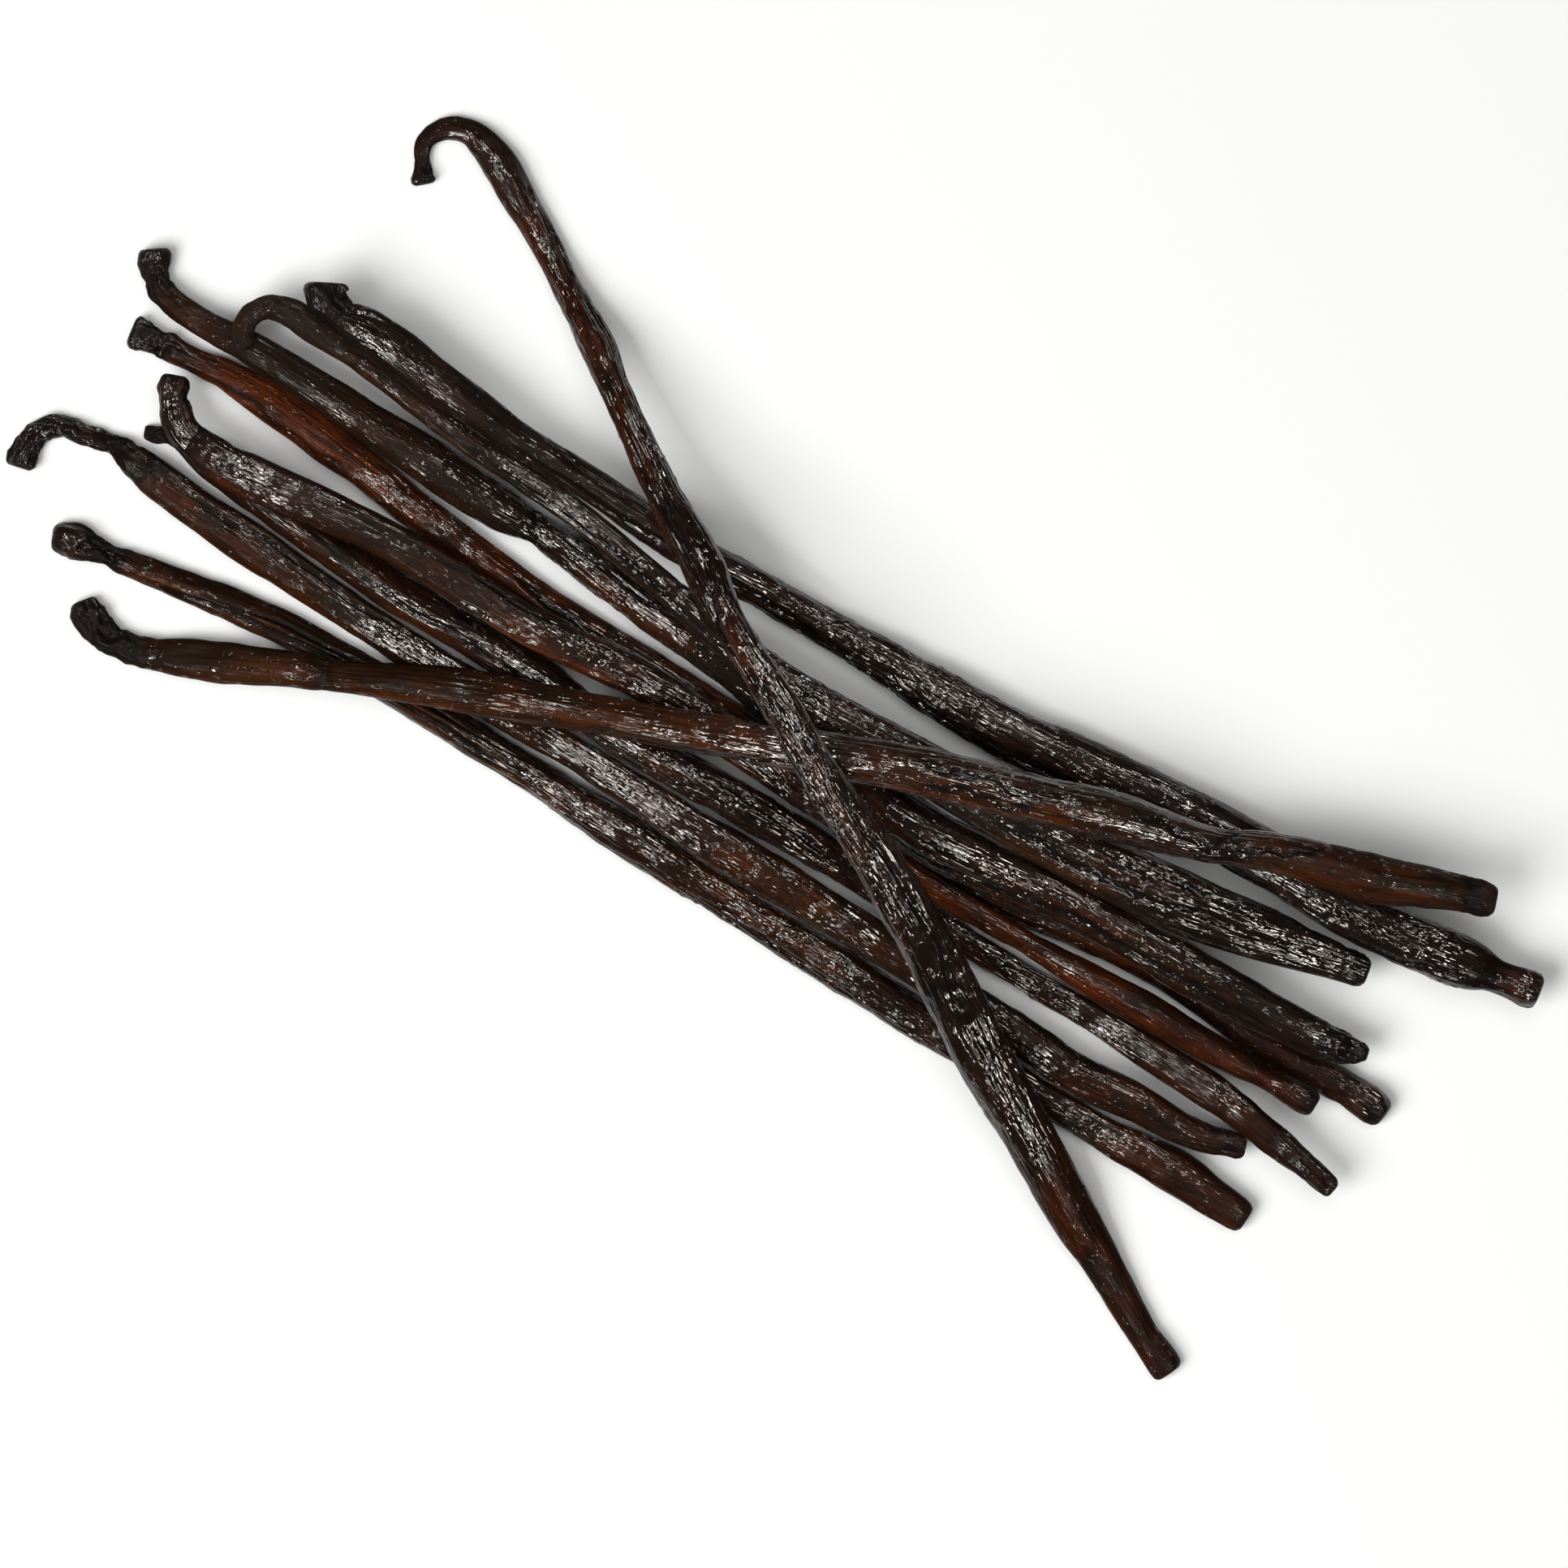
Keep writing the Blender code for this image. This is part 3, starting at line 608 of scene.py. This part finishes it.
def ring_rows(pod):
    """Length and share of the full width of each ring, end faces included."""
    stem = CAP_ROUND * pod.places[0, 2]
    tip = CAP_ROUND * pod.places[-1, 2]
    share = np.linspace(0.0, 1.0, CAP_RINGS + 1)[1:] ** 0.8
    depth = 1.0 - (1.0 - share ** CAP_BLUNT) ** (1.0 / CAP_BLUNT)
    dish = 0.22 * (1.0 - soft_step(0.15, 0.75, share))
    near = stem * (depth + dish)
    far = pod.length - tip * (depth + dish)
    body = np.linspace(stem, pod.length - tip, ALONG)[1:-1]
    s = np.concatenate([near, body, far[::-1]])
    shares = np.concatenate([share, np.ones(len(body)), share[::-1]])
    return s, shares


def corner_angles():
    """Angles of the corners of a ring, closer together on the upper side."""
    even = np.arange(AROUND) * 2.0 * math.pi / AROUND
    return even + CROWD * np.cos(even)


def skin_points(pod, lie, sheet, looks, s, shares):
    """Points of the wrinkled skin, ring by ring."""
    angles = corner_angles()
    middle, side, half = pod.line(s)
    z = np.interp(s, lie[0], lie[1])
    half = (half * shares)[:, None]
    thick = half * THICK_FOR_WIDTH
    cos = np.cos(angles)[None, :]
    sin = np.sin(angles)[None, :]
    out = np.hypot(THICK_FOR_WIDTH * cos, sin)
    height = sheet.at(looks["height"], s, angles)
    free_end = np.exp(-(s / 3.5) ** 2) + np.exp(-((pod.length - s) / 2.5) ** 2)
    out_limit = (RELIEF_OUT + END_RELIEF * free_end)[:, None]
    height = np.clip(height, -0.45 * thick, out_limit) * shares[:, None]
    across = (half + height * THICK_FOR_WIDTH / out) * cos
    up = (thick + height / out) * sin
    xy = middle[:, None, :] + side[:, None, :] * across[:, :, None]
    points = np.concatenate([xy, (z[:, None] + up)[:, :, None]], axis=2)
    points[:, :, 2] = np.maximum(points[:, :, 2], 0.02)
    straight = np.stack([np.repeat(s[:, None], AROUND, axis=1), across, up], axis=2)
    return points, straight


def skin_faces(rings):
    """Quads between rings, and a fan on each end."""
    k = np.arange(AROUND)
    m = (k + 1) % AROUND
    r = np.arange(rings - 1)[:, None] * AROUND
    quads = np.stack([r + k, r + m, r + AROUND + m, r + AROUND + k], axis=2)
    stem = rings * AROUND
    last = (rings - 1) * AROUND
    near = np.stack([k, np.full(AROUND, stem), m], axis=1)
    far = np.stack([last + m, np.full(AROUND, stem + 1), last + k], axis=1)
    return quads.reshape(-1, 4), np.concatenate([near, far])


def pod_mesh(pod, lie):
    """Fine closed mesh of one pod, with what its finish needs stored on the skin."""
    sheet, looks = wrinkle(pod, SKINS[pod.name])
    s, shares = ring_rows(pod)
    points, straight = skin_points(pod, lie, sheet, looks, s, shares)
    poles = [points[0].mean(axis=0), points[-1].mean(axis=0)]
    points = np.concatenate([points.reshape(-1, 3), poles])
    ends = [straight[0].mean(axis=0), straight[-1].mean(axis=0)]
    straight = np.concatenate([straight.reshape(-1, 3), ends])
    quads, fans = skin_faces(len(s))
    mesh = bpy.data.meshes.new(pod.name + "_skin")
    mesh.vertices.add(len(points))
    mesh.vertices.foreach_set("co", (points * MM).astype(np.float32).ravel())
    corners = np.concatenate([quads.ravel(), fans.ravel()])
    sizes = np.concatenate([np.full(len(quads), 4), np.full(len(fans), 3)])
    mesh.loops.add(len(corners))
    mesh.loops.foreach_set("vertex_index", corners.astype(np.int32))
    mesh.polygons.add(len(sizes))
    starts = np.concatenate([[0], np.cumsum(sizes)[:-1]])
    mesh.polygons.foreach_set("loop_start", starts.astype(np.int32))
    mesh.update(calc_edges=True)
    mesh.validate()
    mesh.shade_smooth()
    store_vector(mesh, "straight_pod", straight)
    face = np.concatenate([1.0 - shares ** 3, [1.0, 1.0]])
    for name in ("crease_shade_and_dark_ends", "amber", "bloom_and_sheen", "crust", "wet"):
        values = sheet.at(looks[name], s, corner_angles()).reshape(-1)
        store_value(mesh, name, np.concatenate([values, [values[0], values[-1]]]))
    cut = np.concatenate([np.repeat(face[:-2], AROUND), face[-2:]])
    store_value(mesh, "cut_face", cut)
    return mesh


def store_value(mesh, name, values):
    kept = mesh.attributes.new(name, "FLOAT", "POINT")
    kept.data.foreach_set("value", values.astype(np.float32))


def store_vector(mesh, name, values):
    kept = mesh.attributes.new(name, "FLOAT_VECTOR", "POINT")
    kept.data.foreach_set("vector", values.astype(np.float32).ravel())


# ---------------------------------------------------------------- finishes

def linear(code):
    """Linear colour of an sRGB hex value."""
    parts = [int(code[i:i + 2], 16) / 255.0 for i in (1, 3, 5)]
    return tuple(p / 12.92 if p <= 0.04045 else ((p + 0.055) / 1.055) ** 2.4 for p in parts)


BLACK_CRUST = (*linear("#14100e"), 1.0)   # dried-up skin of the stem ends
GREY_FIBRE = (*linear("#2c2826"), 1.0)    # fibres of a broken or cut end
FOLD_SHADE = (*linear("#0a0605"), 1.0)     # painted shade at the bottom of folds and creases


def add(tree, kind, settings=(), links=()):
    """Adds one node, with its settings and what feeds each of its inputs."""
    node = tree.nodes.new(kind)
    for name, value in dict(settings).items():
        if isinstance(name, int) or name in node.inputs:
            node.inputs[name].default_value = value
        else:
            setattr(node, name, value)
    for name, source in dict(links).items():
        tree.links.new(source, node.inputs[name])
    return node


def cured_vanilla_skin(name, number):
    """Cured vanilla pod: a fermented and dried orchid fruit with an oily skin.

    The oil gives crisp broken glints on wet wrinkles and a dull sheen where the skin is
    smooth; thin skin shows through in red-brown, old dried skin turns it grey-mauve, and
    the same grey-mauve paints a sheen on its upper sides.
    """
    shade, red, bloom_and_sheen = [(*linear(code), 1.0) for code in COLOURS[name]]
    material = bpy.data.materials.new("cured_skin_" + name)
    material.use_nodes = True
    tree = material.node_tree
    tree.nodes.clear()
    place = add(tree, "ShaderNodeAttribute", {"attribute_name": "straight_pod"})
    moved = add(tree, "ShaderNodeVectorMath", {"operation": "ADD", 1: (300.0 * number, 0, 0)},
                {0: place.outputs["Vector"]})
    marks = {}
    for mark in ("crease_shade_and_dark_ends", "amber", "bloom_and_sheen", "crust", "wet", "cut_face"):
        marks[mark] = add(tree, "ShaderNodeAttribute", {"attribute_name": mark}).outputs["Fac"]

    # streaks of 8 mm by 0.6 mm in the tone of the skin, and blotches of about 4 mm
    drawn_out = add(tree, "ShaderNodeMapping", {"Scale": (0.12, 1.6, 1.6)},
                    {"Vector": moved.outputs[0]})
    streaks = add(tree, "ShaderNodeTexNoise", {"Scale": 1.0, "Detail": 3.0},
                  {"Vector": drawn_out.outputs[0]})
    stretched = add(tree, "ShaderNodeMapping", {"Scale": (0.12, 0.30, 0.30)},
                    {"Vector": moved.outputs[0]})
    blotches = add(tree, "ShaderNodeTexNoise", {"Scale": 1.0, "Detail": 4.0},
                   {"Vector": stretched.outputs[0]})

    # round lengthwise wrinkles of about 0.4 mm with sharp creases between them
    combed = add(tree, "ShaderNodeMapping", {"Scale": (0.15, 1.6, 1.6)},
                 {"Vector": moved.outputs[0]})
    fine = add(tree, "ShaderNodeTexNoise", {"Scale": 1.0, "Detail": 2.0, "Roughness": 0.5},
               {"Vector": combed.outputs[0]})
    level = add(tree, "ShaderNodeMath", {"operation": "SUBTRACT", 1: 0.5},
                {0: fine.outputs["Fac"]})
    rolls = add(tree, "ShaderNodeMath", {"operation": "ABSOLUTE"}, {0: level.outputs[0]})
    # painted shade: fine dark lines in the creases between the wrinkles
    creases = add(tree, "ShaderNodeMapRange", {"From Min": 0.0, "From Max": 0.055,
                                               "To Min": 0.55, "To Max": 0.0},
                  {"Value": rolls.outputs[0]})

    # red shows in patches: where the skin is thin, less where it is folded
    thin = add(tree, "ShaderNodeMapRange", {"From Min": 0.50, "From Max": 0.66, "To Max": 0.55},
               {"Value": blotches.outputs["Fac"]})
    redder = add(tree, "ShaderNodeMath", {"operation": "ADD", "use_clamp": True},
                 {0: thin.outputs["Result"], 1: marks["amber"]})
    streaked = add(tree, "ShaderNodeMapRange", {"From Min": 0.35, "From Max": 0.60, "To Min": 0.15},
                   {"Value": streaks.outputs["Fac"]})
    red_share = add(tree, "ShaderNodeMath", {"operation": "MULTIPLY"},
                    {0: redder.outputs[0], 1: streaked.outputs["Result"]})
    # grey dry skin, partly a painted sheen on the upper sides
    bloom_and_sheen_share = add(tree, "ShaderNodeMath", {"operation": "MULTIPLY", 1: 0.6},
                      {0: marks["bloom_and_sheen"]})
    crust_share = add(tree, "ShaderNodeMath", {"operation": "MULTIPLY", 1: 0.9},
                      {0: marks["crust"]})
    end_share = add(tree, "ShaderNodeMath", {"operation": "MULTIPLY", 1: 0.7},
                    {0: marks["cut_face"]})
    # painted shade in the folds, grooves and pinches, and the darker ends
    fold_shade_share = add(tree, "ShaderNodeMath", {"operation": "MULTIPLY", 1: 0.9}, {0: marks["crease_shade_and_dark_ends"]})
    layers = ((red_share, red), (bloom_and_sheen_share, bloom_and_sheen), (crust_share, BLACK_CRUST),
              (end_share, GREY_FIBRE), (creases, FOLD_SHADE), (fold_shade_share, FOLD_SHADE))
    skin_tone = add(tree, "ShaderNodeRGB")
    skin_tone.outputs[0].default_value = shade
    tone = skin_tone.outputs[0]
    for share, colour in layers:
        laid = add(tree, "ShaderNodeMix", {"data_type": "RGBA", 7: colour},
                   {0: share.outputs[0], 6: tone})
        tone = laid.outputs[2]

    fine_depth = add(tree, "ShaderNodeMapRange", {"To Min": 0.45, "To Max": 1.0},
                     {"Value": marks["wet"]})
    combed_bump = add(tree, "ShaderNodeBump", {"Distance": 0.00028},
                      {"Height": rolls.outputs[0], "Strength": fine_depth.outputs["Result"]})

    # oily warts of about 0.3 mm, in clusters
    dotted = add(tree, "ShaderNodeMapping", {"Scale": (0.9, 1.5, 1.5)},
                 {"Vector": moved.outputs[0]})
    grains = add(tree, "ShaderNodeTexNoise", {"Scale": 1.0, "Detail": 1.0, "Roughness": 0.4},
                 {"Vector": dotted.outputs[0]})
    dots = add(tree, "ShaderNodeMapRange", {"interpolation_type": "SMOOTHSTEP", "From Min": 0.58,
                                            "From Max": 0.72},
               {"Value": grains.outputs["Fac"]})
    clustered = add(tree, "ShaderNodeMapRange", {"From Min": 0.40, "From Max": 0.55,
                                                 "To Min": 0.15},
                    {"Value": blotches.outputs["Fac"]})
    warts = add(tree, "ShaderNodeMath", {"operation": "MULTIPLY"},
                {0: dots.outputs["Result"], 1: clustered.outputs["Result"]})
    bump = add(tree, "ShaderNodeBump", {"Distance": 0.00007, "Strength": 1.0},
               {"Height": warts.outputs[0], "Normal": combed_bump.outputs["Normal"]})

    # the skin is dull where it is dry, and a film of oil lies over the wrinkles
    dry = add(tree, "ShaderNodeMapRange", {"To Min": 0.42, "To Max": 0.24},
              {"Value": marks["wet"]})
    duller = add(tree, "ShaderNodeMath", {"operation": "MULTIPLY_ADD", 1: 0.12},
                 {0: marks["bloom_and_sheen"], 2: dry.outputs["Result"]})
    uneven = add(tree, "ShaderNodeMapRange", {"From Min": 0.3, "From Max": 0.7,
                                              "To Min": -0.05, "To Max": 0.07},
                 {"Value": blotches.outputs["Fac"]})
    rough = add(tree, "ShaderNodeMath", {"operation": "ADD", "use_clamp": True},
                {0: duller.outputs[0], 1: uneven.outputs["Result"]})

    filmed = add(tree, "ShaderNodeMapRange", {"From Min": 0.15, "From Max": 0.85,
                                              "To Min": 0.02, "To Max": 0.8},
                 {"Value": marks["wet"]})
    dewy = add(tree, "ShaderNodeMath", {"operation": "MULTIPLY_ADD", 1: 0.7, "use_clamp": True},
               {0: warts.outputs[0], 2: filmed.outputs["Result"]})
    parched = add(tree, "ShaderNodeMapRange", {"To Min": 1.0, "To Max": 0.35},
                  {"Value": marks["crust"]})
    oil = add(tree, "ShaderNodeMath", {"operation": "MULTIPLY"},
              {0: dewy.outputs[0], 1: parched.outputs["Result"]})

    skin = add(tree, "ShaderNodeBsdfPrincipled",
               {"IOR": 1.5, "Specular IOR Level": 0.05, "Coat IOR": 1.6, "Coat Roughness": 0.06},
               {"Base Color": tone, "Roughness": rough.outputs[0],
                "Normal": bump.outputs["Normal"], "Coat Normal": bump.outputs["Normal"],
                "Coat Weight": oil.outputs[0]})
    add(tree, "ShaderNodeOutputMaterial", {}, {"Surface": skin.outputs["BSDF"]})
    return material


def pale_table_top():
    """Matt white laminate, plain and pale."""
    material = bpy.data.materials.new("matt_white_laminate")
    material.use_nodes = True
    shader = material.node_tree.nodes["Principled BSDF"]
    shader.inputs["Base Color"].default_value = (*linear("#ececea"), 1.0)
    shader.inputs["Roughness"].default_value = 0.9
    shader.inputs["Specular IOR Level"].default_value = 0.2
    return material


# ---------------------------------------------------------------- the bundle

def dress_pods():
    """One fine skin for each packed pod."""
    pieces = []
    for number, (pod, lie) in enumerate(lay_pods()):
        mesh = pod_mesh(pod, lie)
        mesh.materials.append(cured_vanilla_skin(pod.name, number))
        piece = bpy.data.objects.new(pod.name + "_skin", mesh)
        bpy.context.scene.collection.objects.link(piece)
        pieces.append((pod.name, piece))
    return pieces


def centre_over_frame(pieces):
    """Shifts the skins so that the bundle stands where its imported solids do."""
    low = np.array([piece.bound_box[0] for _, piece in pieces]).min(axis=0)
    high = np.array([piece.bound_box[6] for _, piece in pieces]).max(axis=0)
    want = (np.array(cad_box[0]) + np.array(cad_box[1])) / 2.0
    shift = want - (low + high) / 2.0
    for _, piece in pieces:
        count = len(piece.data.vertices)
        spots = np.empty(count * 3, np.float32)
        piece.data.vertices.foreach_get("co", spots)
        spots = spots.reshape(-1, 3)
        spots[:, :2] += shift[:2]
        piece.data.vertices.foreach_set("co", spots.ravel())
        piece.data.update()


def hold_to_frame(pieces):
    for name, piece in pieces:
        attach(piece, "root")
        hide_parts(name)


# ---------------------------------------------------------------- table, lights and camera

VIEW_TURN = math.radians(31.0)    # the bundle lies aslant to the viewer
AIM = (0.00512, -0.00565, 0.003)  # middle of the view
VIEW_WIDTH = 0.1932               # width of the view at the pods
LENS = 200.0


def seen(right, up):
    """A direction on the table, from how it points in the view."""
    cos, sin = math.cos(VIEW_TURN), math.sin(VIEW_TURN)
    return np.array([right * cos - up * sin, right * sin + up * cos])


def lay_table():
    size = 3.0
    corners = [(-size, -size, 0), (size, -size, 0), (size, size, 0), (-size, size, 0)]
    mesh = bpy.data.meshes.new("table_top")
    mesh.from_pydata(corners, [], [(0, 1, 2, 3)])
    mesh.materials.append(pale_table_top())
    top = bpy.data.objects.new("table_top", mesh)
    bpy.context.scene.collection.objects.link(top)


def soft_box(name, right, up, height, wide, tall, radiance):
    """A soft box that faces the bundle, with its radiance in white units."""
    light = bpy.data.lights.new(name, "AREA")
    light.shape = "RECTANGLE"
    light.size = wide
    light.size_y = tall
    light.energy = radiance * math.pi * wide * tall
    lamp = bpy.data.objects.new(name, light)
    x, y = seen(right, up)
    lamp.location = (AIM[0] + x, AIM[1] + y, height)
    back = np.array([x, y, height])
    lamp.rotation_mode = "QUATERNION"
    lamp.rotation_quaternion = Vector(back).to_track_quat("Z", "Y")
    bpy.context.scene.collection.objects.link(lamp)
    return lamp


def light_the_table():
    for sheet in (soft_box("low_window", -0.85, -0.50, 1.05, 0.95, 0.95, 8.9),
                  soft_box("ceiling", 0.10, 0.10, 1.60, 1.80, 1.80, 1.45)):
        sheet.visible_glossy = False    # cross-polarised: soft shadows without glare
    for lamp in (soft_box("window_side", -0.42, -0.25, 0.95, 0.42, 0.08, 54.0),
                 soft_box("lamp_side", 0.42, -0.33, 1.00, 0.06, 0.40, 76.0),
                 soft_box("far_lamp", -0.12, 0.40, 1.00, 0.06, 0.36, 54.0),
                 soft_box("back_lamp", 0.32, 0.45, 1.00, 0.28, 0.045, 55.0)):
        lamp.visible_diffuse = False    # polarised: it only makes the oil glint
        lamp.data.color = linear("#fffaf3")
    world = bpy.data.worlds.new("pale_room")
    world.use_nodes = True
    sky = world.node_tree.nodes["Background"]
    sky.inputs["Color"].default_value = (*linear("#fbf8f3"), 1.0)
    ray = add(world.node_tree, "ShaderNodeLightPath")
    add(world.node_tree, "ShaderNodeMapRange", {"To Min": 0.045, "To Max": 0.85},
        {"Value": ray.outputs["Is Camera Ray"]})
    strength = world.node_tree.nodes["Map Range"].outputs["Result"]
    world.node_tree.links.new(strength, sky.inputs["Strength"])
    bpy.context.scene.world = world


def place_camera():
    camera = bpy.data.cameras.new("overhead")
    camera.lens = LENS
    camera.sensor_width = 36.0
    away = VIEW_WIDTH / 2.0 / (camera.sensor_width / 2.0 / LENS)
    camera.clip_start = 0.05
    camera.clip_end = 20.0
    stand = bpy.data.objects.new("overhead", camera)
    stand.location = (AIM[0], AIM[1], AIM[2] + away)
    stand.rotation_euler = (0.0, 0.0, VIEW_TURN)
    bpy.context.scene.collection.objects.link(stand)
    bpy.context.scene.camera = stand


pods = dress_pods()
centre_over_frame(pods)
hold_to_frame(pods)
lay_table()
light_the_table()
place_camera()
bpy.context.scene.view_settings.view_transform = "Standard"

bpy.context.view_layer.update()
